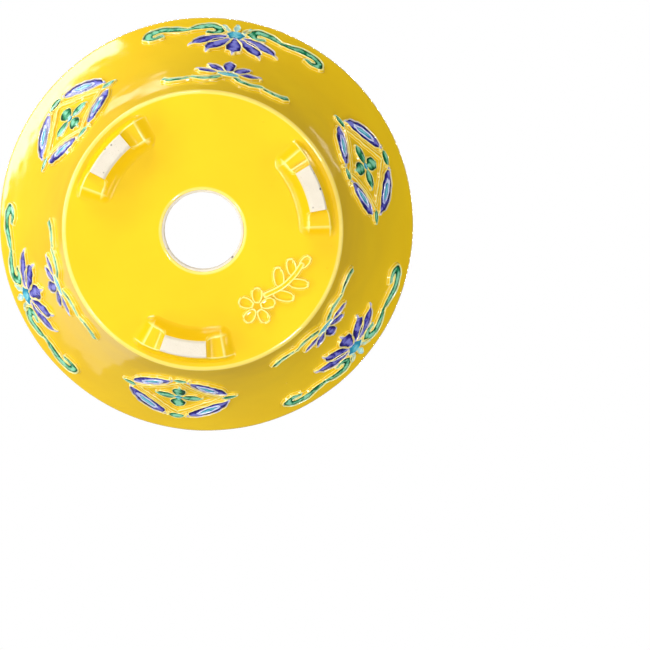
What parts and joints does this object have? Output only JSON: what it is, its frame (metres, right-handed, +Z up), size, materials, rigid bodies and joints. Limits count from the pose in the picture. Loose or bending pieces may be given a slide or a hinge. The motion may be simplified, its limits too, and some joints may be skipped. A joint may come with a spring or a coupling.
{
  "type": "bonsai pot",
  "caption": "Small round glazed ceramic bonsai pot: a flared bowl with a drain hole on bracket feet, with raised lotus scrolls and medallions in coloured enamel.",
  "frame": {"origin": "on the ground that the feet stand on, at the middle of the pot, under the middle of the drain hole", "axes": "+Z up along the pot's axis, from the feet to the open mouth; +Y towards foot_1; the other feet are 120 degrees round"},
  "size_m": [0.086, 0.086, 0.0395],
  "materials": {
    "bare_clay": "unglazed, matt, off-white with fine dark specks",
    "yellow_glaze": "glossy yellow glaze, paler on edges and deeper where it pools",
    "violet_enamel": "glossy violet-blue enamel",
    "turquoise_enamel": "glossy turquoise enamel",
    "green_enamel": "glossy green enamel"
  },
  "bodies": {
    "root": {"clay_body": "bare_clay", "glaze_coat": "yellow_glaze", "base_sprig": "yellow_glaze", "foot_1": "bare_clay", "foot_2": "bare_clay", "foot_3": "bare_clay", "foot_glaze_1": "yellow_glaze", "foot_glaze_2": "yellow_glaze", "foot_glaze_3": "yellow_glaze", "rim_lotus_petals_1": "violet_enamel", "rim_lotus_petals_2": "violet_enamel", "rim_lotus_petals_3": "violet_enamel", "rim_lotus_heart_1": "turquoise_enamel", "rim_lotus_heart_2": "turquoise_enamel", "rim_lotus_heart_3": "turquoise_enamel", "rim_vines_1": "green_enamel", "rim_vines_2": "green_enamel", "rim_vines_3": "green_enamel", "base_lotus_petals_1": "violet_enamel", "base_lotus_petals_2": "violet_enamel", "base_lotus_petals_3": "violet_enamel", "base_lotus_heart_1": "turquoise_enamel", "base_lotus_heart_2": "turquoise_enamel", "base_lotus_heart_3": "turquoise_enamel", "base_vines_1": "green_enamel", "base_vines_2": "green_enamel", "base_vines_3": "green_enamel", "medallion_petals_1": "violet_enamel", "medallion_petals_2": "violet_enamel", "medallion_petals_3": "violet_enamel", "medallion_cores_1": "turquoise_enamel", "medallion_cores_2": "turquoise_enamel", "medallion_cores_3": "turquoise_enamel", "medallion_leaves_1": "green_enamel", "medallion_leaves_2": "green_enamel", "medallion_leaves_3": "green_enamel", "medallion_frame_1": "yellow_glaze", "medallion_frame_2": "yellow_glaze", "medallion_frame_3": "yellow_glaze"}
  },
  "joints": []
}
